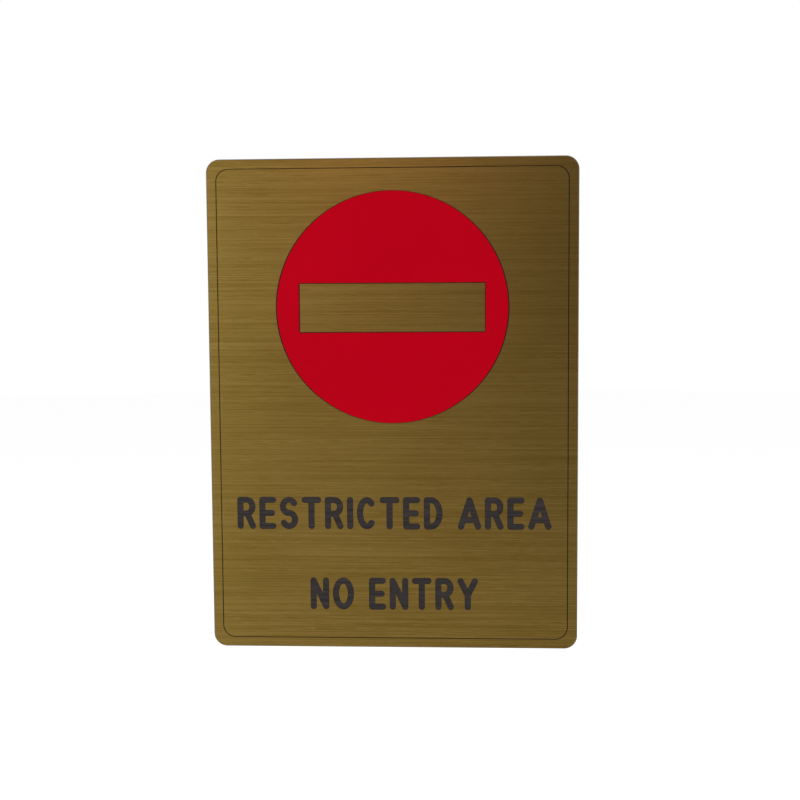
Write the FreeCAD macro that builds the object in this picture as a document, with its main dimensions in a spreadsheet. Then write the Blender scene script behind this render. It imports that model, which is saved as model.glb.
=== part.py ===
import FreeCAD, Part
import math
import os

import Sketcher

# A no entry sign for a door or a wall, cut from a two-ply engraving laminate: a
# thin brushed gold cap on a black core. A border line is engraved through the
# cap, and a red disc is let into a shallow pocket round a bar of the gold cap.
# Millimetres. X is the width, Z the height, the face looks along -Y and the
# origin is the centre of the flat back.

# Driving dimensions. Every outline is drawn on the centre line of its cut, and
# the cut takes half of its width from each side.
sheet_rows = [
    ("plate_width", 150.0, "overall width"),
    ("plate_height", 200.0, "overall height"),
    ("plate_corner", 5.4, "corner radius of the plate"),
    ("core_thickness", 1.35, "black core"),
    ("cap_thickness", 0.15, "brushed gold cap on the core"),
    ("edge_bevel", 0.4, "equal-sided bevel round the front, through the cap into the core"),
    ("border_inset", 4.0, "edge of the plate to the border line"),
    ("border_corner", 5.0, "corner radius of the border line"),
    ("disc_diameter", 94.0, "outline of the red disc"),
    ("disc_margin", 9.0, "border line down to the top of the disc"),
    ("bar_margin", 9.4, "side of the disc in to the end of the bar"),
    ("bar_height", 19.8, "outline of the bar"),
    ("cut_width", 0.3, "width of every engraved line and cut"),
    ("cut_depth", 0.1, "depth of every cut into the core"),
    ("disc_recess", 0.05, "face of the red disc behind the gold face"),
]

# Outlines and depths that the pieces share, as expressions on the sheet.
border_width = "(sizes.plate_width - 2 * sizes.border_inset)"
border_height = "(sizes.plate_height - 2 * sizes.border_inset)"
outside_border = (
    border_width + " + sizes.cut_width",
    border_height + " + sizes.cut_width",
    "sizes.border_corner + sizes.cut_width / 2",
)
inside_border = (
    border_width + " - sizes.cut_width",
    border_height + " - sizes.cut_width",
    "sizes.border_corner - sizes.cut_width / 2",
)
disc_rise = border_height + " / 2 - sizes.disc_margin - sizes.disc_diameter / 2"
disc_opening = "sizes.disc_diameter + sizes.cut_width"
disc_edge = "sizes.disc_diameter - sizes.cut_width"
bar_length = "(sizes.disc_diameter - 2 * sizes.bar_margin)"
bar_island = (bar_length + " - sizes.cut_width", "(sizes.bar_height - sizes.cut_width)")
bar_window = (bar_length + " + sizes.cut_width", "(sizes.bar_height + sizes.cut_width)")
core_bevel = "(sizes.edge_bevel - sizes.cap_thickness)"
back = "0"
core_front = "sizes.core_thickness"
face = "sizes.core_thickness + sizes.cap_thickness"
pocket_floor = "sizes.core_thickness - sizes.cut_depth"
inlay_thickness = "sizes.cap_thickness + sizes.cut_depth - sizes.disc_recess"

# Places in a sketch: its origin and its two axes.
origin_point = (-1, 1)
horizontal_axis = -1
vertical_axis = -2

bevel_slope = 45.0
on_plane = 1e-6

doc = FreeCAD.newDocument("no_entry_sign")


def make_sheet():
    sheet = doc.addObject("Spreadsheet::Sheet", "sizes")
    for row, (alias, value, note) in enumerate(sheet_rows, start=1):
        sheet.set("A%d" % row, alias)
        sheet.set("B%d" % row, str(value))
        sheet.set("C%d" % row, note)
        sheet.setAlias("B%d" % row, alias)
    doc.recompute()
    return sheet


sizes = make_sheet()


def add_body(name):
    body = doc.addObject("PartDesign::Body", name)
    body.Label = name
    return body


def add_sketch(body, name, depth):
    # A sketch that faces the viewer, as far in front of the back as depth says.
    sketch = body.newObject("Sketcher::SketchObject", name)
    upright = [item for item in body.Origin.OriginFeatures if item.Role == "XZ_Plane"]
    sketch.AttachmentSupport = (upright[0], [""])
    sketch.MapMode = "FlatFace"
    sketch.setExpression("AttachmentOffset.Base.z", depth)
    return sketch


def add_driven(sketch, kind, places, name, expression):
    value = sizes.evalExpression(expression)
    index = sketch.addConstraint(Sketcher.Constraint(kind, *places, value))
    sketch.renameConstraint(index, name)
    sketch.setExpression("Constraints." + name, expression)


def add_rounded_rectangle(sketch, tag, width, height, corner):
    # Four sides joined by tangent arcs, centred on the plate.
    radius = sizes.evalExpression(corner)
    side_x = sizes.evalExpression(width) / 2
    side_y = sizes.evalExpression(height) / 2
    turn_x = side_x - radius
    turn_y = side_y - radius
    side_ends = (
        ((side_x, -turn_y), (side_x, turn_y)),
        ((turn_x, side_y), (-turn_x, side_y)),
        ((-side_x, turn_y), (-side_x, -turn_y)),
        ((-turn_x, -side_y), (turn_x, -side_y)),
    )
    turns = ((turn_x, turn_y), (-turn_x, turn_y), (-turn_x, -turn_y), (turn_x, -turn_y))
    sides = []
    corners = []
    for quarter, (ends, turn) in enumerate(zip(side_ends, turns)):
        start, end = (FreeCAD.Vector(*place) for place in ends)
        sides.append(sketch.addGeometry(Part.LineSegment(start, end)))
        circle = Part.Circle(FreeCAD.Vector(*turn), FreeCAD.Vector(0, 0, 1), radius)
        angle = quarter * math.pi / 2
        arc = Part.ArcOfCircle(circle, angle, angle + math.pi / 2)
        corners.append(sketch.addGeometry(arc))
    following = sides[1:] + sides[:1]
    for side, arc, next_side in zip(sides, corners, following):
        sketch.addConstraint(Sketcher.Constraint("Tangent", side, 2, arc, 1))
        sketch.addConstraint(Sketcher.Constraint("Tangent", arc, 2, next_side, 1))
    for arc in corners[1:]:
        sketch.addConstraint(Sketcher.Constraint("Equal", corners[0], arc))
    right, top, left, bottom = sides
    sketch.addConstraint(Sketcher.Constraint("Vertical", left))
    sketch.addConstraint(Sketcher.Constraint("Horizontal", bottom))
    sketch.addConstraint(Sketcher.Constraint("Symmetric", right, 1, right, 2, horizontal_axis))
    sketch.addConstraint(Sketcher.Constraint("Symmetric", top, 1, top, 2, vertical_axis))
    add_driven(sketch, "DistanceX", (left, 1, right, 1), tag + "_width", width)
    add_driven(sketch, "DistanceY", (bottom, 1, top, 1), tag + "_height", height)
    add_driven(sketch, "Radius", (corners[0],), tag + "_corner", corner)


def add_disc_circle(sketch, diameter):
    centre = FreeCAD.Vector(0, sizes.evalExpression(disc_rise), 0)
    radius = sizes.evalExpression(diameter) / 2
    outline = Part.Circle(centre, FreeCAD.Vector(0, 0, 1), radius)
    circle = sketch.addGeometry(outline)
    sketch.addConstraint(Sketcher.Constraint("PointOnObject", circle, 3, vertical_axis))
    add_driven(sketch, "DistanceY", (*origin_point, circle, 3), "disc_rise", disc_rise)
    add_driven(sketch, "Diameter", (circle,), "disc_diameter", diameter)


def add_bar_rectangle(sketch, length, height):
    # A sharp-cornered rectangle, centred on the disc.
    end_x = sizes.evalExpression(length) / 2
    base_rise = disc_rise + " - %s / 2" % height
    base_y = sizes.evalExpression(base_rise)
    top_y = base_y + sizes.evalExpression(height)
    places = ((-end_x, base_y), (end_x, base_y), (end_x, top_y), (-end_x, top_y))
    points = [FreeCAD.Vector(*place) for place in places]
    following = points[1:] + points[:1]
    sides = [sketch.addGeometry(Part.LineSegment(*ends)) for ends in zip(points, following)]
    for side, next_side in zip(sides, sides[1:] + sides[:1]):
        sketch.addConstraint(Sketcher.Constraint("Coincident", side, 2, next_side, 1))
    bottom, right, top, left = sides
    sketch.addConstraint(Sketcher.Constraint("Horizontal", top))
    sketch.addConstraint(Sketcher.Constraint("Vertical", left))
    sketch.addConstraint(Sketcher.Constraint("Vertical", right))
    sketch.addConstraint(Sketcher.Constraint("Symmetric", bottom, 1, bottom, 2, vertical_axis))
    add_driven(sketch, "DistanceX", (bottom, 1, bottom, 2), "bar_length", length)
    add_driven(sketch, "DistanceY", (right, 1, right, 2), "bar_height", height)
    add_driven(sketch, "DistanceY", (*origin_point, bottom, 1), "bar_base", base_rise)


def add_pad(body, sketch, name, length):
    pad = body.newObject("PartDesign::Pad", name)
    pad.Profile = sketch
    pad.setExpression("Length", length)
    sketch.Visibility = False
    doc.recompute()
    return pad


def add_pocket(body, sketch, name, depth):
    # The pocket runs from its sketch towards the back, and has to take material.
    before = body.Shape.Volume
    pocket = body.newObject("PartDesign::Pocket", name)
    pocket.Profile = sketch
    pocket.Reversed = False
    pocket.setExpression("Length", depth)
    sketch.Visibility = False
    doc.recompute()
    if body.Shape.Volume >= before:
        raise RuntimeError(name + " takes no material")


def bevel_front(body, pad, name, size):
    # The edges that lie wholly in the pad's front plane.
    front = -sizes.evalExpression(core_front)
    names = [
        "Edge%d" % index
        for index, edge in enumerate(pad.Shape.Edges, start=1)
        if all(abs(vertex.Point.y - front) < on_plane for vertex in edge.Vertexes)
    ]
    bevel = body.newObject("PartDesign::Chamfer", name)
    bevel.Base = (pad, names)
    bevel.setExpression("Size", size)
    doc.recompute()


def make_core_sheet():
    body = add_body("core_sheet")
    outline = add_sketch(body, "core_outline", back)
    plate = ("sizes.plate_width", "sizes.plate_height", "sizes.plate_corner")
    add_rounded_rectangle(outline, "plate", *plate)
    pad = add_pad(body, outline, "core_pad", "sizes.core_thickness")
    bevel_front(body, pad, "core_edge", core_bevel)

    line = add_sketch(body, "border_line", core_front)
    add_rounded_rectangle(line, "outside", *outside_border)
    add_rounded_rectangle(line, "inside", *inside_border)
    add_pocket(body, line, "border_groove", "sizes.cut_depth")

    seat = add_sketch(body, "disc_seat", core_front)
    add_disc_circle(seat, disc_opening)
    add_bar_rectangle(seat, *bar_island)
    add_pocket(body, seat, "disc_pocket", "sizes.cut_depth")
    return body


def make_gold_rim():
    # The cap outside the border line. Its edge carries on the bevel of the core.
    body = add_body("gold_rim")
    outline = add_sketch(body, "rim_outline", core_front)
    width = "sizes.plate_width - 2 * " + core_bevel
    height = "sizes.plate_height - 2 * " + core_bevel
    corner = "sizes.plate_corner - " + core_bevel
    add_rounded_rectangle(outline, "rim", width, height, corner)
    pad = add_pad(body, outline, "rim_pad", "sizes.cap_thickness")
    upright = body.Shape.Volume
    pad.TaperAngle = -bevel_slope
    doc.recompute()
    if body.Shape.Volume >= upright:
        raise RuntimeError("the rim doesn't narrow towards its face")

    opening = add_sketch(body, "rim_opening", face)
    add_rounded_rectangle(opening, "opening", *outside_border)
    add_pocket(body, opening, "rim_cut", "sizes.cap_thickness")
    return body


def make_gold_field():
    # The cap inside the border line, with the opening for the disc.
    body = add_body("gold_field")
    outline = add_sketch(body, "field_outline", core_front)
    add_rounded_rectangle(outline, "field", *inside_border)
    add_disc_circle(outline, disc_opening)
    add_pad(body, outline, "field_pad", "sizes.cap_thickness")
    return body


def make_gold_bar():
    # The island of cap that is left standing in the disc.
    body = add_body("gold_bar")
    outline = add_sketch(body, "bar_outline", core_front)
    add_bar_rectangle(outline, *bar_island)
    add_pad(body, outline, "bar_pad", "sizes.cap_thickness")
    return body


def make_red_disc():
    # The inlay, on the floor of the core's pocket, with a window for the bar.
    body = add_body("red_disc")
    outline = add_sketch(body, "disc_outline", pocket_floor)
    add_disc_circle(outline, disc_edge)
    add_bar_rectangle(outline, *bar_window)
    add_pad(body, outline, "disc_pad", inlay_thickness)
    return body


def check_objects():
    for item in doc.Objects:
        if "Invalid" in item.State or "Error" in item.State:
            raise RuntimeError("%s failed: %s" % (item.Name, item.State))
        if item.isDerivedFrom("Sketcher::SketchObject") and not item.FullyConstrained:
            raise RuntimeError(item.Name + " can still move")


def check_piece(body):
    shape = body.Shape
    if shape.isNull() or not shape.isValid() or len(shape.Solids) != 1:
        raise RuntimeError(body.Label + " is not one valid solid")


pieces = [
    make_core_sheet(),
    make_gold_rim(),
    make_gold_field(),
    make_gold_bar(),
    make_red_disc(),
]
doc.recompute()
check_objects()
for piece in pieces:
    check_piece(piece)
os.makedirs("parts", exist_ok=True)
for piece in pieces:
    piece.Shape.exportStep("parts/%s.step" % piece.Label)
    print("%s: %.2f cubic mm" % (piece.Label, piece.Shape.Volume))
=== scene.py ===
# No entry sign for a door or wall: a two-ply engraving laminate plate, brushed gold on black,
# with a border line, a red disc let in round a gold bar, and an engraved legend.
import math
import bmesh
import bpy
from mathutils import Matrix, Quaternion, Vector
from mathutils.geometry import delaunay_2d_cdt


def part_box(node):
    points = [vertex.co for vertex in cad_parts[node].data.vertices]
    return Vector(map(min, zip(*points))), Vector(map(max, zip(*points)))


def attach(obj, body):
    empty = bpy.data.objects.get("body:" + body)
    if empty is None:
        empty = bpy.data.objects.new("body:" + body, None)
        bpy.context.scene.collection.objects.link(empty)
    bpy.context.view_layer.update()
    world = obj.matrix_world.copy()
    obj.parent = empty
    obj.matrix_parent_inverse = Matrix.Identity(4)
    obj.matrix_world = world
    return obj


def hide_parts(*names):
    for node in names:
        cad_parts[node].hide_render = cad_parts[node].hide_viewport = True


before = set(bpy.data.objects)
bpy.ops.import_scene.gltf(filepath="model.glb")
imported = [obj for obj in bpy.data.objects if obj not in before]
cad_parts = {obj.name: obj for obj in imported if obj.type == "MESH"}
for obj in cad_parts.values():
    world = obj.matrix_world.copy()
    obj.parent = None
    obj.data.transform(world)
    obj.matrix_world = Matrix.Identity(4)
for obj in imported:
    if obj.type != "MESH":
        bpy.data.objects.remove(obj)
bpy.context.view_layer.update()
scene = bpy.context.scene
scene.view_settings.view_transform = "Standard"
mm = 0.001
print("frame loaded:", ", ".join(sorted(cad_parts)))

# The photograph's view: 800 x 800, from in front, a little above the middle and to the right.
cameraSetup = {
    "lens": 58.74,                   # mm
    "sensorWidth": 36.0,             # mm
    "place": (32.5, -529.1, 47.2),   # mm
    "lookAt": (2.96, -1.5, 2.53),    # mm
    "roll": -0.369,                  # degrees
}

cameraData = bpy.data.cameras.new("photoCamera")
cameraData.lens = cameraSetup["lens"]
cameraData.sensor_width = cameraSetup["sensorWidth"]
camera = bpy.data.objects.new("photoCamera", cameraData)
camera.location = Vector(cameraSetup["place"]) * mm
lookDirection = Vector(cameraSetup["lookAt"]) * mm - camera.location
camera.rotation_mode = "QUATERNION"
camera.rotation_quaternion = lookDirection.to_track_quat("-Z", "Y") @ Quaternion(
    (0, 0, 1), math.radians(cameraSetup["roll"])
)
scene.collection.objects.link(camera)
scene.camera = camera
print("camera placed")


# sRGB hex to the linear colour that the shaders want
def linearColour(hexText):
    channels = [int(hexText[i:i + 2], 16) / 255 for i in (1, 3, 5)]
    return [c / 12.92 if c <= 0.04045 else ((c + 0.055) / 1.055) ** 2.4 for c in channels] + [1.0]


# Adds a node. settings are its properties, sockets its inputs: a value, or another node's output to link.
# A Mix node's inputs 2 and 3 are its two numbers and its output 0 the mixed one. For colours they are
# 6, 7 and 2.
def addNode(tree, kind, settings=None, sockets=None):
    node = tree.nodes.new(kind)
    for name, value in (settings or {}).items():
        setattr(node, name, value)
    for name, value in (sockets or {}).items():
        if isinstance(value, bpy.types.NodeSocket):
            tree.links.new(value, node.inputs[name])
        else:
            node.inputs[name].default_value = value
    return node


def newMaterial(name):
    material = bpy.data.materials.new(name)
    material.use_nodes = True
    material.node_tree.nodes.clear()
    return material


# Noise drawn out along the axes: size is the grain's length in mm along X, Y and Z.
def grain(tree, position, size, detail=2.0, roughness=0.5):
    stretched = addNode(tree, "ShaderNodeMapping", None, {
        "Vector": position,
        "Scale": [1 / (length * mm) for length in size],
    })
    return addNode(tree, "ShaderNodeTexNoise", None, {
        "Vector": stretched.outputs["Vector"],
        "Scale": 1.0,
        "Detail": detail,
        "Roughness": roughness,
    })


# Metallised acrylic film, brushed along the width and covered by a matte protective coat. The eye
# sees fine hairlines, all dead level, a soft sheen that spreads up and down, and no sharp
# reflections. Where the film is cut through, its thin wall is browned by the cutter and painted darker as
# shade in the cut.
goldFilm = {
    "crest": "#78622F",
    "valley": "#634E1C",
    "toneSpan": (0.375, 0.625),       # pattern values at which the valley's and the crest's colour are full
    # the cut wall's browning, painted darker still as the shade inside the narrow cut
    "cutWallBrownAndShade": "#1E1712",
    "wallFacing": (-0.5, -0.2),       # the normal's Y at which the cut wall's colour starts and is full
    "roughness": 0.3,
    "roughnessSpread": 0.04,
    "satinSpan": (0.3, 0.7),          # pattern values at which the film is roughest and smoothest
    "anisotropy": 0.7,
    "coat": 0.09,
    "coatRoughness": 0.6,
    "hairline": (60.0, 1.0, 0.34),    # mm; real ones are near 0.1 mm, drawn at a pixel's height to show
    "hairlineDepth": 0.002,           # mm
    "secondSet": 400.0,               # mm up, where the second set of hairlines is taken from
    "run": (6.0, 1.0, 0.4),           # mm, how far one set shows before the other takes over
    "runSpan": (0.4, 0.6),            # pattern values between which one set fades into the other
    "brushMark": (110.0, 1.0, 1.6),   # mm, bundles of hairlines that the belt pressed harder
    "brushMarkShare": 0.2,
    "cloud": (45.0, 20.0, 30.0),      # mm, slow change of tone across the sheet
    "cloudShare": 0.12,
}


def makeGoldFilm():
    material = newMaterial("brushedGoldAcrylicFilm")
    tree = material.node_tree
    coordinates = addNode(tree, "ShaderNodeTexCoord")
    position = coordinates.outputs["Object"]
    brushMarks = grain(tree, position, goldFilm["brushMark"], detail=2.0)
    clouds = grain(tree, position, goldFilm["cloud"], detail=1.0)
    # Two sets of long hairlines take over from each other along the width, as one grain of the belt's
    # grit does from the next, so the lines start and end and stay level.
    elsewhere = addNode(tree, "ShaderNodeMapping", None, {
        "Vector": position,
        "Location": (0, 0, goldFilm["secondSet"] * mm),
    })
    firstLines = grain(tree, position, goldFilm["hairline"], detail=1.0)
    secondLines = grain(tree, elsewhere.outputs["Vector"], goldFilm["hairline"], detail=1.0)
    runs = grain(tree, position, goldFilm["run"], detail=3.0, roughness=0.6)
    takeOver = addNode(tree, "ShaderNodeMapRange", None, {
        "Value": runs.outputs["Fac"],
        "From Min": goldFilm["runSpan"][0],
        "From Max": goldFilm["runSpan"][1],
    })
    fineStreaks = addNode(tree, "ShaderNodeMix", None, {
        0: takeOver.outputs["Result"],
        2: firstLines.outputs["Fac"],
        3: secondLines.outputs["Fac"],
    })
    streaks = addNode(tree, "ShaderNodeMix", None, {
        0: goldFilm["brushMarkShare"],
        2: fineStreaks.outputs[0],
        3: brushMarks.outputs["Fac"],
    })
    tone = addNode(tree, "ShaderNodeMix", None, {
        0: goldFilm["cloudShare"],
        2: streaks.outputs[0],
        3: clouds.outputs["Fac"],
    })
    share = addNode(tree, "ShaderNodeMapRange", None, {
        "Value": tone.outputs[0],
        "From Min": goldFilm["toneSpan"][0],
        "From Max": goldFilm["toneSpan"][1],
    })
    brushed = addNode(tree, "ShaderNodeMix", {"data_type": "RGBA"}, {
        0: share.outputs["Result"],
        6: linearColour(goldFilm["valley"]),
        7: linearColour(goldFilm["crest"]),
    })
    # The face looks along -Y and the walls of the cuts look sideways.
    facing = addNode(tree, "ShaderNodeSeparateXYZ", None, {"Vector": coordinates.outputs["Normal"]})
    onWallBrownAndShade = addNode(tree, "ShaderNodeMapRange", None, {
        "Value": facing.outputs["Y"],
        "From Min": goldFilm["wallFacing"][0],
        "From Max": goldFilm["wallFacing"][1],
    })
    # the walls of the cuts get the browned colour, darkened as painted shade of the narrow cut
    colour = addNode(tree, "ShaderNodeMix", {"data_type": "RGBA"}, {
        0: onWallBrownAndShade.outputs["Result"],
        6: brushed.outputs[2],
        7: linearColour(goldFilm["cutWallBrownAndShade"]),
    })
    satin = addNode(tree, "ShaderNodeMapRange", None, {
        "Value": streaks.outputs[0],
        "From Min": goldFilm["satinSpan"][0],
        "From Max": goldFilm["satinSpan"][1],
        "To Min": goldFilm["roughness"] + goldFilm["roughnessSpread"],
        "To Max": goldFilm["roughness"] - goldFilm["roughnessSpread"],
    })
    relief = addNode(tree, "ShaderNodeBump", None, {
        "Strength": 1.0,
        "Distance": goldFilm["hairlineDepth"] * mm,
        "Height": fineStreaks.outputs[0],
    })
    # Round the X axis the tangent stands upright on the face, so the sheen spreads across the hairlines.
    acrossBrushing = addNode(tree, "ShaderNodeTangent", {"direction_type": "RADIAL", "axis": "X"})
    film = addNode(tree, "ShaderNodeBsdfPrincipled", None, {
        "Base Color": colour.outputs[2],
        "Metallic": 1.0,
        "Roughness": satin.outputs["Result"],
        "Anisotropic": goldFilm["anisotropy"],
        "Tangent": acrossBrushing.outputs["Tangent"],
        "Coat Weight": goldFilm["coat"],
        "Coat Roughness": goldFilm["coatRoughness"],
        "Normal": relief.outputs["Normal"],
    })
    addNode(tree, "ShaderNodeOutputMaterial", None, {"Surface": film.outputs["BSDF"]})
    return material


# Black ABS core. The cutter leaves a matte charcoal floor with fine raster lines in the letters; the
# deeper grooves are painted near black as shade. The cut edge is a little frosted, the back keeps its plain
# matte.
blackCore = {
    "engraved": "#342E2D",
    "engravedDark": "#211D1D",
    # painted shade: the deeper grooves' floor, near black, darker than the plastic itself
    "paintedGrooveShade": "#0B0808",
    "grooveLevel": -1.3,               # mm, the letters' floor is in front of this and the grooves' behind
    "grooveFade": 0.01,                # mm each way
    "frosted": "#6A6464",
    "plain": "#181616",
    "plainPale": "#211F1F",
    "toneSpan": (0.35, 0.65),          # pattern values at which the darker and the paler tone are full
    "roughness": 0.62,
    "roughnessSpread": 0.06,
    "frostSpan": (0.3, 0.7),           # pattern values at which the plastic is smoothest and roughest
    "specular": 0.13,
    "frontFacing": (-0.8, -0.95),      # the normal's Y at which the engraved front starts and is full
    "bevelFacing": (-0.3, -0.5),       # the same for everything that looks forward, the bevel too
    "backFacing": (0.8, 0.95),         # and for the back
    "rasterLine": (12.0, 1.0, 0.45),   # mm; real raster pitch is near 0.1 mm, drawn at a pixel's height
    "edgeMark": (0.5, 4.0, 0.5),       # mm, marks of the cutter across the edge
    "sheetGrain": (0.6, 0.6, 0.6),     # mm
    "sheetGrainShare": 0.35,           # of the back's tone, the rest of which is flow marks
    "flowMark": (22.0, 22.0, 70.0),    # mm, faint marks down the extruded sheet
    "reliefDepth": 0.006,              # mm
}


def makeBlackCore():
    material = newMaterial("laserEngravedBlackAbs")
    tree = material.node_tree
    coordinates = addNode(tree, "ShaderNodeTexCoord")
    position = coordinates.outputs["Object"]
    rasterLines = grain(tree, position, blackCore["rasterLine"], detail=2.0)
    edgeMarks = grain(tree, position, blackCore["edgeMark"], detail=2.0)
    sheetGrain = grain(tree, position, blackCore["sheetGrain"], detail=3.0)
    flowMarks = grain(tree, position, blackCore["flowMark"], detail=3.0)
    facing = addNode(tree, "ShaderNodeSeparateXYZ", None, {"Vector": coordinates.outputs["Normal"]})
    engraved = addNode(tree, "ShaderNodeMapRange", None, {
        "Value": facing.outputs["Y"],
        "From Min": blackCore["frontFacing"][0],
        "From Max": blackCore["frontFacing"][1],
    })
    bevelled = addNode(tree, "ShaderNodeMapRange", None, {
        "Value": facing.outputs["Y"],
        "From Min": blackCore["bevelFacing"][0],
        "From Max": blackCore["bevelFacing"][1],
    })
    back = addNode(tree, "ShaderNodeMapRange", None, {
        "Value": facing.outputs["Y"],
        "From Min": blackCore["backFacing"][0],
        "From Max": blackCore["backFacing"][1],
    })
    # the floors that the cutter leaves, with painted shade in the deeper grooves
    rasterShare = addNode(tree, "ShaderNodeMapRange", None, {
        "Value": rasterLines.outputs["Fac"],
        "From Min": blackCore["toneSpan"][0],
        "From Max": blackCore["toneSpan"][1],
    })
    charcoal = addNode(tree, "ShaderNodeMix", {"data_type": "RGBA"}, {
        0: rasterShare.outputs["Result"],
        6: linearColour(blackCore["engravedDark"]),
        7: linearColour(blackCore["engraved"]),
    })
    depth = addNode(tree, "ShaderNodeSeparateXYZ", None, {"Vector": position})
    # painted shade for the floors behind the groove level, in the deep narrow grooves
    inGrooveShade = addNode(tree, "ShaderNodeMapRange", None, {
        "Value": depth.outputs["Y"],
        "From Min": (blackCore["grooveLevel"] - blackCore["grooveFade"]) * mm,
        "From Max": (blackCore["grooveLevel"] + blackCore["grooveFade"]) * mm,
    })
    floorWithGrooveShade = addNode(tree, "ShaderNodeMix", {"data_type": "RGBA"}, {
        0: inGrooveShade.outputs["Result"],
        6: charcoal.outputs[2],
        7: linearColour(blackCore["paintedGrooveShade"]),
    })
    # the plain sheet of the back and the edges, frosted on the bevel
    sheetTone = addNode(tree, "ShaderNodeMix", None, {
        0: blackCore["sheetGrainShare"],
        2: flowMarks.outputs["Fac"],
        3: sheetGrain.outputs["Fac"],
    })
    sheetShare = addNode(tree, "ShaderNodeMapRange", None, {
        "Value": sheetTone.outputs[0],
        "From Min": blackCore["toneSpan"][0],
        "From Max": blackCore["toneSpan"][1],
    })
    sheet = addNode(tree, "ShaderNodeMix", {"data_type": "RGBA"}, {
        0: sheetShare.outputs["Result"],
        6: linearColour(blackCore["plain"]),
        7: linearColour(blackCore["plainPale"]),
    })
    side = addNode(tree, "ShaderNodeMix", {"data_type": "RGBA"}, {
        0: bevelled.outputs["Result"],
        6: sheet.outputs[2],
        7: linearColour(blackCore["frosted"]),
    })
    colour = addNode(tree, "ShaderNodeMix", {"data_type": "RGBA"}, {
        0: engraved.outputs["Result"],
        6: side.outputs[2],
        7: floorWithGrooveShade.outputs[2],
    })
    edgeOrBack = addNode(tree, "ShaderNodeMix", None, {
        0: back.outputs["Result"],
        2: edgeMarks.outputs["Fac"],
        3: sheetGrain.outputs["Fac"],
    })
    height = addNode(tree, "ShaderNodeMix", None, {
        0: engraved.outputs["Result"],
        2: edgeOrBack.outputs[0],
        3: rasterLines.outputs["Fac"],
    })
    relief = addNode(tree, "ShaderNodeBump", None, {
        "Strength": 1.0,
        "Distance": blackCore["reliefDepth"] * mm,
        "Height": height.outputs[0],
    })
    frost = addNode(tree, "ShaderNodeMapRange", None, {
        "Value": height.outputs[0],
        "From Min": blackCore["frostSpan"][0],
        "From Max": blackCore["frostSpan"][1],
        "To Min": blackCore["roughness"] - blackCore["roughnessSpread"],
        "To Max": blackCore["roughness"] + blackCore["roughnessSpread"],
    })
    plastic = addNode(tree, "ShaderNodeBsdfPrincipled", None, {
        "Base Color": colour.outputs[2],
        "Roughness": frost.outputs["Result"],
        "Specular IOR Level": blackCore["specular"],
        "Normal": relief.outputs["Normal"],
    })
    addNode(tree, "ShaderNodeOutputMaterial", None, {"Surface": plastic.outputs["BSDF"]})
    return material


# Cast red acrylic with a satin face: an even deep red, with a few specks of dust and a slight wave in
# the sheen.
redAcrylic = {
    "face": "#B20016",
    "deep": "#A80014",
    "paleSpeck": "#C2122A",
    "darkSpeck": "#82000E",
    "roughness": 0.42,
    "roughnessSpread": 0.05,
    "specular": 0.015,
    "wave": (40.0, 20.0, 40.0),   # mm
    "speckSpacing": 9.0,          # mm
    "speckSize": 0.35,            # mm across
    "speckFade": (1.6, 0.4),      # radii from a speck's middle at which it starts to show and is full
    "paleShift": 0.3,             # spacings, which set the pale specks apart from the dark ones
    "darkShift": 4.7,
}


def specks(tree, position, shift):
    moved = addNode(tree, "ShaderNodeMapping", None, {
        "Vector": position,
        "Location": (shift, 0, shift),
        "Scale": [1 / (redAcrylic["speckSpacing"] * mm)] * 3,
    })
    cells = addNode(tree, "ShaderNodeTexVoronoi", {"voronoi_dimensions": "3D"}, {
        "Vector": moved.outputs["Vector"],
        "Scale": 1.0,
    })
    radius = redAcrylic["speckSize"] / 2 / redAcrylic["speckSpacing"]
    return addNode(tree, "ShaderNodeMapRange", None, {
        "Value": cells.outputs["Distance"],
        "From Min": radius * redAcrylic["speckFade"][0],
        "From Max": radius * redAcrylic["speckFade"][1],
    })


def makeRedAcrylic():
    material = newMaterial("satinRedAcrylic")
    tree = material.node_tree
    position = addNode(tree, "ShaderNodeTexCoord").outputs["Object"]
    wave = grain(tree, position, redAcrylic["wave"], detail=2.0)
    red = addNode(tree, "ShaderNodeMix", {"data_type": "RGBA"}, {
        0: wave.outputs["Fac"],
        6: linearColour(redAcrylic["deep"]),
        7: linearColour(redAcrylic["face"]),
    })
    pale = specks(tree, position, redAcrylic["paleShift"])
    dark = specks(tree, position, redAcrylic["darkShift"])
    withPale = addNode(tree, "ShaderNodeMix", {"data_type": "RGBA"}, {
        0: pale.outputs["Result"],
        6: red.outputs[2],
        7: linearColour(redAcrylic["paleSpeck"]),
    })
    withDark = addNode(tree, "ShaderNodeMix", {"data_type": "RGBA"}, {
        0: dark.outputs["Result"],
        6: withPale.outputs[2],
        7: linearColour(redAcrylic["darkSpeck"]),
    })
    satin = addNode(tree, "ShaderNodeMapRange", None, {
        "Value": wave.outputs["Fac"],
        "To Min": redAcrylic["roughness"] - redAcrylic["roughnessSpread"],
        "To Max": redAcrylic["roughness"] + redAcrylic["roughnessSpread"],
    })
    acrylic = addNode(tree, "ShaderNodeBsdfPrincipled", None, {
        "Base Color": withDark.outputs[2],
        "Roughness": satin.outputs["Result"],
        "Specular IOR Level": redAcrylic["specular"],
    })
    addNode(tree, "ShaderNodeOutputMaterial", None, {"Surface": acrylic.outputs["BSDF"]})
    return material


goldMaterial = makeGoldFilm()
coreMaterial = makeBlackCore()
redMaterial = makeRedAcrylic()
print("materials made")


def setMaterial(item, material):
    item.data.materials.clear()
    item.data.materials.append(material)


# The CAD pieces whose shape is right keep it and get the finishes.
setMaterial(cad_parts["core_sheet"], coreMaterial)
setMaterial(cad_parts["gold_rim"], goldMaterial)
setMaterial(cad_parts["gold_bar"], goldMaterial)


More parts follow.
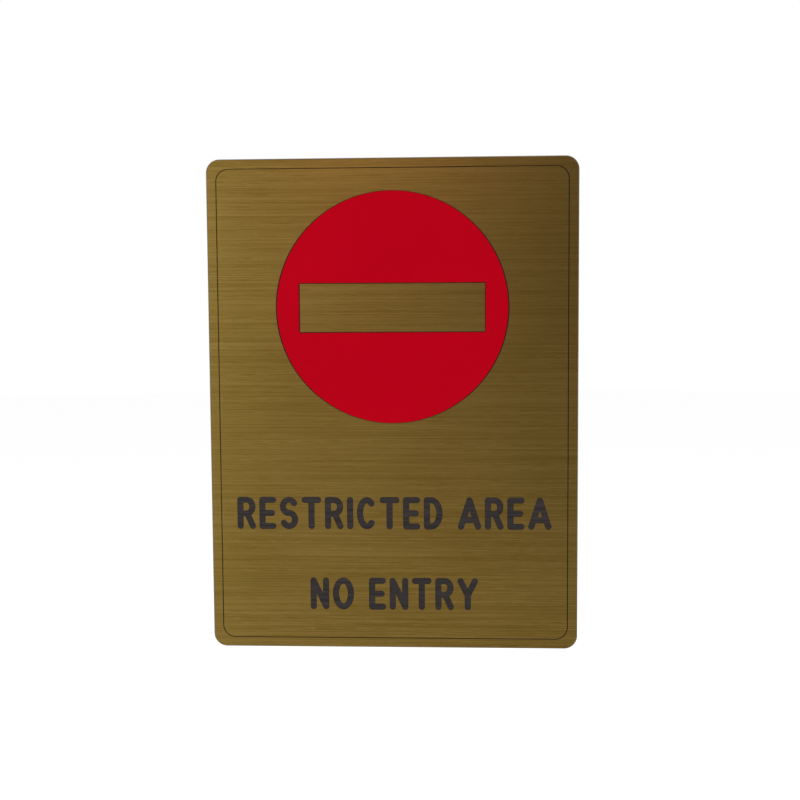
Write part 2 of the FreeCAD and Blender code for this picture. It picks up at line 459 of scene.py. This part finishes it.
# Outlines are lists of (x, z) points on the plate's face, in metres. All run anticlockwise.
def ovalOutline(centre, radii, steps):
    turns = [2 * math.pi * i / steps for i in range(steps)]
    return [(centre[0] + radii[0] * math.cos(t), centre[1] + radii[1] * math.sin(t)) for t in turns]


def roundedOutline(halfWidth, halfHeight, radius, steps):
    points = []
    for sideX, sideZ, start in ((1, 1, 0), (-1, 1, 90), (-1, -1, 180), (1, -1, 270)):
        for i in range(steps + 1):
            turn = math.radians(start + 90 * i / steps)
            points.append((
                sideX * (halfWidth - radius) + radius * math.cos(turn),
                sideZ * (halfHeight - radius) + radius * math.sin(turn),
            ))
    return points


insideTriangles = 1    # the kind of fill: triangles, each with the numbers of the outlines that hold it
fillTolerance = 1e-7   # m


# A sheet of the first outline less the openings, which may overlap one another.
def cutSheet(name, outline, openings, faceY, thickness):
    corners = []
    loops = []
    for loop in [outline] + openings:
        loops.append(list(range(len(corners), len(corners) + len(loop))))
        corners += [Vector(corner) for corner in loop]
    filled = delaunay_2d_cdt(corners, [], loops, insideTriangles, fillTolerance)
    points, triangles, holders = filled[0], filled[2], filled[5]
    solid = [list(triangle) for triangle, held in zip(triangles, holders) if list(held) == [0]]
    used = sorted({i for triangle in solid for i in triangle})
    shape = bmesh.new()
    front = {i: shape.verts.new((points[i].x, faceY, points[i].y)) for i in used}
    back = {i: shape.verts.new((points[i].x, faceY + thickness, points[i].y)) for i in used}
    for triangle in solid:
        shape.faces.new([front[i] for i in triangle])
        shape.faces.new([back[i] for i in reversed(triangle)])
    # A wall stands on each side that only one triangle has. They are laid one by one, because an
    # extrusion puts them in another order each run.
    sides = [(a, b) for triangle in solid for a, b in zip(triangle, triangle[1:] + triangle[:1])]
    known = set(sides)
    for a, b in sides:
        if (b, a) not in known:
            shape.faces.new([front[a], back[a], back[b], front[b]])
    mesh = bpy.data.meshes.new(name)
    shape.to_mesh(mesh)
    shape.free()
    mesh.shade_flat()
    sheet = bpy.data.objects.new(name, mesh)
    scene.collection.objects.link(sheet)
    return sheet


barLow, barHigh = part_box("gold_bar")
discLow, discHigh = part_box("red_disc")
fieldLow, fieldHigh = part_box("gold_field")
discCentre = ((discLow.x + discHigh.x) / 2, (discLow.z + discHigh.z) / 2)
discRadius = (discHigh.x - discLow.x) / 2

# The red inlay, cut from sheet with a window for the bar.
inlay = {
    "steps": 360,
    "softEdge": 0.05 * mm,
    "edgeSegments": 2,
    "edgeAngle": 50,          # degrees, the least turn between faces that is softened
    "barCut": 0.3 * mm,
    "leftBarCut": 0.4 * mm,   # the cut at the bar's left end came out a little wide
}

windowOutline = [
    (barLow.x - inlay["leftBarCut"], barLow.z - inlay["barCut"]),
    (barHigh.x + inlay["barCut"], barLow.z - inlay["barCut"]),
    (barHigh.x + inlay["barCut"], barHigh.z + inlay["barCut"]),
    (barLow.x - inlay["leftBarCut"], barHigh.z + inlay["barCut"]),
]
redInlay = cutSheet(
    "redInlay",
    ovalOutline(discCentre, (discRadius, discRadius), inlay["steps"]),
    [windowOutline],
    discLow.y,
    discHigh.y - discLow.y,
)
edge = redInlay.modifiers.new("softEdge", "BEVEL")
edge.width = inlay["softEdge"]
edge.segments = inlay["edgeSegments"]
edge.limit_method = "ANGLE"
edge.angle_limit = math.radians(inlay["edgeAngle"])
setMaterial(redInlay, redMaterial)
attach(redInlay, "root")
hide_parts("red_disc")
print("red inlay cut")


# The generic legend: heavy block capitals with round ends, as a round cutter leaves them,
# engraved through the film down to the core.
legend = {
    "lines": (("RESTRICTED AREA", -44.0), ("NO ENTRY", -77.5)),   # words and centre height, mm
    "height": 13.4,      # mm over the strokes
    "stroke": 2.55,      # mm
    "narrow": 0.82,      # width of the letters against the plain pattern below
    "gap": 1.5,          # mm between letters
    "wordGap": 6.2,      # mm between words
    "roundTurn": 0.4,    # radians, the least turn whose outside is rounded
    "turnStep": 0.3,     # radians between the points round it
    "endSteps": 10,      # round the half circle at a stroke's end
}


def arcPoints(centre, radii, start, end, steps):
    turns = [math.radians(start + (end - start) * i / steps) for i in range(steps + 1)]
    return [(centre[0] + radii[0] * math.cos(t), centre[1] + radii[1] * math.sin(t)) for t in turns]


# Each letter's width and the centre lines of its strokes, in parts of the height. No stroke meets itself.
letterStrokes = {
    "A": (0.78, [[(0, 0), (0.39, 1), (0.78, 0)], [(0.17, 0.25), (0.61, 0.25)]]),
    "C": (0.6, [arcPoints((0.32, 0.5), (0.32, 0.5), 48, 312, 24)]),
    "D": (0.58, [[(0.2, 0), (0, 0), (0, 1), (0.2, 1)], arcPoints((0.2, 0.5), (0.38, 0.5), 90, -90, 20)]),
    "E": (0.5, [[(0.5, 1), (0, 1), (0, 0), (0.5, 0)], [(0.05, 0.5), (0.44, 0.5)]]),
    "I": (0, [[(0, 0), (0, 1)]]),
    "N": (0.58, [[(0, 0), (0, 1), (0.58, 0), (0.58, 1)]]),
    "O": (0.7, [
        arcPoints((0.35, 0.5), (0.35, 0.5), 70, 290, 22),
        arcPoints((0.35, 0.5), (0.35, 0.5), -110, 110, 22),
    ]),
    "R": (0.57, [
        [(0, 0), (0, 1)] + arcPoints((0.3, 0.74), (0.26, 0.26), 90, -90, 14),
        [(0.05, 0.48), (0.3, 0.48)],
        [(0.33, 0.46), (0.57, 0)],
    ]),
    "S": (0.56, [
        arcPoints((0.28, 0.75), (0.28, 0.25), 30, 270, 20)
        + arcPoints((0.28, 0.25), (0.28, 0.25), 90, -150, 20)[1:]
    ]),
    "T": (0.62, [[(0, 1), (0.62, 1)], [(0.31, 0.95), (0.31, 0)]]),
    "Y": (0.66, [[(0, 1), (0.33, 0.46), (0.66, 1)], [(0.33, 0.42), (0.33, 0)]]),
}


def pointFrom(corner, direction, reach):
    return (corner[0] + reach * math.cos(direction), corner[1] + reach * math.sin(direction))


# The right-hand side of a stroke and the round end that it comes to. A clear turn to the left opens a
# wedge on this side, which is filled round; at any other corner the sides meet in a point.
def strokeSide(line, reach):
    headings = [math.atan2(b[1] - a[1], b[0] - a[0]) for a, b in zip(line, line[1:])]
    side = []
    for corner, before, after in zip(line[1:], headings, headings[1:]):
        turn = math.remainder(after - before, 2 * math.pi)
        if turn > legend["roundTurn"]:
            steps = math.ceil(turn / legend["turnStep"])
            fan = [before - math.pi / 2 + turn * i / steps for i in range(steps + 1)]
            side += [pointFrom(corner, direction, reach) for direction in fan]
        else:
            side.append(pointFrom(corner, before - math.pi / 2 + turn / 2, reach / math.cos(turn / 2)))
    endSteps = legend["endSteps"]
    halfCircle = [headings[-1] + math.pi * (i / endSteps - 0.5) for i in range(endSteps + 1)]
    return side + [pointFrom(line[-1], direction, reach) for direction in halfCircle]


# The outlines of one line of letters, centred on the plate.
def letterOutlines(words, centreHeight):
    stroke = legend["stroke"]
    patternHeight = legend["height"] - stroke
    lines = []
    start = stroke / 2
    for letter in words:
        if letter == " ":
            start += legend["wordGap"] - legend["gap"]
            continue
        width, strokes = letterStrokes[letter]
        for points in strokes:
            lines.append([(
                start + x * patternHeight * legend["narrow"],
                centreHeight + (z - 0.5) * patternHeight,
            ) for x, z in points])
        start += width * patternHeight * legend["narrow"] + stroke + legend["gap"]
    middle = (start - stroke / 2 - legend["gap"]) / 2
    outlines = []
    for line in lines:
        placed = [((x - middle) * mm, z * mm) for x, z in line]
        outlines.append(strokeSide(placed, stroke / 2 * mm) + strokeSide(placed[::-1], stroke / 2 * mm))
    print("legend line", words, "is", round(middle * 2, 1), "mm wide")
    return outlines


# The film inside the border line, with the disc's opening and the letters cut out of it. The cutter
# goes from side to side, so its cuts are wider where they run upright than where they run level.
field = {
    "cornerRadius": 4.85 * mm,
    "cornerSteps": 16,
    "sideTrim": 0.07 * mm,
    "openingSteps": 360,
    "discCut": (0.45 * mm, 0.16 * mm),   # round the disc, at its sides and at its top and bottom
}

fieldOutline = roundedOutline(
    fieldHigh.x - field["sideTrim"],
    fieldHigh.z,
    field["cornerRadius"],
    field["cornerSteps"],
)
openingRadii = [discRadius + cut for cut in field["discCut"]]
openings = [ovalOutline(discCentre, openingRadii, field["openingSteps"])]
for words, height in legend["lines"]:
    openings += letterOutlines(words, height)
goldField = cutSheet(
    "goldFieldWithLegend",
    fieldOutline,
    openings,
    fieldLow.y,
    fieldHigh.y - fieldLow.y,
)
setMaterial(goldField, goldMaterial)
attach(goldField, "root")
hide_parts("gold_field")
print("gold field cut, with", len(openings), "openings")


# Plain pale studio: even light from the surroundings, a large soft key panel on the left, a weak warm
# one in front and one overhead that grazes the top edge. The gold's shading across the plate comes from
# the key's reflection on the left and that of a black cloth flag on the right, which only shiny faces see.
# Places and sizes are in mm, and each lamp and the flag face the plate's middle.
studio = {
    "fill": 0.58,    # light from all round, apart from what the camera and shiny faces see
    "white": 1.0,    # what those see
    "key": {"place": (-800, -900, 80), "size": (1100, 900), "watts": 7.2, "colour": "#ECFDFF"},
    "front": {"place": (-60, -878, 480), "size": (260, 380), "watts": 1.0, "colour": "#FFC0C0"},
    "overhead": {"place": (-80, 170, 900), "size": (700, 300), "watts": 14.0, "colour": "#FFFFFF"},
    "flag": {
        "place": (240, -750, 130),
        "halfSize": (520, 560),
        "cloth": "#202020",
        "density": 0.73,
        "clearFrom": 1.0,   # half sizes from its middle
        "fullAt": 0.2,
    },
}


# 1 for rays that show the pale background itself: the camera's, and those of shiny and clear faces
def backgroundRays(tree):
    path = addNode(tree, "ShaderNodeLightPath")
    shiny = addNode(tree, "ShaderNodeMath", {"operation": "MAXIMUM"}, {
        0: path.outputs["Is Camera Ray"],
        1: path.outputs["Is Glossy Ray"],
    })
    return addNode(tree, "ShaderNodeMath", {"operation": "MAXIMUM"}, {
        0: shiny.outputs[0],
        1: path.outputs["Is Transmission Ray"],
    }).outputs[0]


world = bpy.data.worlds.new("paleStudio")
world.use_nodes = True
worldTree = world.node_tree
worldTree.nodes.clear()
fillLight = addNode(worldTree, "ShaderNodeBackground", None, {"Strength": studio["fill"]})
whiteLight = addNode(worldTree, "ShaderNodeBackground", None, {"Strength": studio["white"]})
for light in (fillLight, whiteLight):
    light.inputs["Color"].default_value = (1, 1, 1, 1)
worldMix = addNode(worldTree, "ShaderNodeMixShader", None, {
    0: backgroundRays(worldTree),
    1: fillLight.outputs["Background"],
    2: whiteLight.outputs["Background"],
})
addNode(worldTree, "ShaderNodeOutputWorld", None, {"Surface": worldMix.outputs["Shader"]})
scene.world = world

# The floor is white to the camera and keeps the plate's soft shadow: the camera sees a glow and thin
# paint together, and only the paint's share of that darkens.
floorSetup = {
    "height": -300.0,   # mm
    "radius": 4000.0,   # mm
    "steps": 96,
    "paint": "#E8E8E6",
    "thinPaint": "#808080",
    "glow": 0.86,
}


def makeFloor():
    material = newMaterial("paleFloorPaint")
    tree = material.node_tree
    paint = addNode(tree, "ShaderNodeBsdfDiffuse", None, {"Color": linearColour(floorSetup["paint"])})
    thinPaint = addNode(tree, "ShaderNodeBsdfDiffuse", None, {
        "Color": linearColour(floorSetup["thinPaint"]),
    })
    glow = addNode(tree, "ShaderNodeEmission", None, {"Strength": floorSetup["glow"]})
    shown = addNode(tree, "ShaderNodeAddShader", None, {0: thinPaint.outputs[0], 1: glow.outputs[0]})
    surface = addNode(tree, "ShaderNodeMixShader", None, {
        0: backgroundRays(tree),
        1: paint.outputs[0],
        2: shown.outputs[0],
    })
    addNode(tree, "ShaderNodeOutputMaterial", None, {"Surface": surface.outputs[0]})
    shape = bmesh.new()
    bmesh.ops.create_circle(
        shape, cap_ends=True, segments=floorSetup["steps"], radius=floorSetup["radius"] * mm
    )
    mesh = bpy.data.meshes.new("floor")
    shape.to_mesh(mesh)
    shape.free()
    floor = bpy.data.objects.new("floor", mesh)
    floor.location.z = floorSetup["height"] * mm
    scene.collection.objects.link(floor)
    setMaterial(floor, material)


def addLamp(name, setup, sheen=True):
    data = bpy.data.lights.new(name, "AREA")
    data.shape = "RECTANGLE"
    data.size, data.size_y = [side * mm for side in setup["size"]]
    data.energy = setup["watts"]
    data.color = linearColour(setup["colour"])[:3]
    lamp = bpy.data.objects.new(name, data)
    lamp.location = Vector(setup["place"]) * mm
    lamp.rotation_mode = "QUATERNION"
    lamp.rotation_quaternion = (-lamp.location).to_track_quat("-Z", "Y")
    lamp.visible_glossy = sheen
    scene.collection.objects.link(lamp)


# Black cloth that thins out towards its edge, seen only in reflections.
def addFlag(name, setup):
    material = newMaterial("blackNetting")
    tree = material.node_tree
    position = addNode(tree, "ShaderNodeTexCoord").outputs["Object"]
    fromMiddle = addNode(tree, "ShaderNodeVectorMath", {"operation": "LENGTH"}, {0: position})
    cover = addNode(tree, "ShaderNodeMapRange", {"interpolation_type": "SMOOTHSTEP"}, {
        "Value": fromMiddle.outputs["Value"],
        "From Min": setup["clearFrom"],
        "From Max": setup["fullAt"],
        "To Max": setup["density"],
    })
    cloth = addNode(tree, "ShaderNodeBsdfDiffuse", None, {"Color": linearColour(setup["cloth"])})
    air = addNode(tree, "ShaderNodeBsdfTransparent")
    netting = addNode(tree, "ShaderNodeMixShader", None, {
        0: cover.outputs["Result"],
        1: air.outputs[0],
        2: cloth.outputs[0],
    })
    addNode(tree, "ShaderNodeOutputMaterial", None, {"Surface": netting.outputs[0]})
    shape = bmesh.new()
    bmesh.ops.create_grid(shape, x_segments=1, y_segments=1, size=1)
    mesh = bpy.data.meshes.new(name)
    shape.to_mesh(mesh)
    shape.free()
    flag = bpy.data.objects.new(name, mesh)
    flag.location = Vector(setup["place"]) * mm
    flag.rotation_mode = "QUATERNION"
    flag.rotation_quaternion = (-flag.location).to_track_quat("Z", "Y")
    flag.scale = [side * mm for side in setup["halfSize"]] + [1]
    flag.visible_camera = False
    flag.visible_diffuse = False
    flag.visible_transmission = False
    flag.visible_shadow = False
    scene.collection.objects.link(flag)
    setMaterial(flag, material)


makeFloor()
addLamp("softKey", studio["key"])
addLamp("frontPanel", studio["front"])
addLamp("overheadPanel", studio["overhead"], sheen=False)
addFlag("darkFlag", studio["flag"])
print("studio lit")
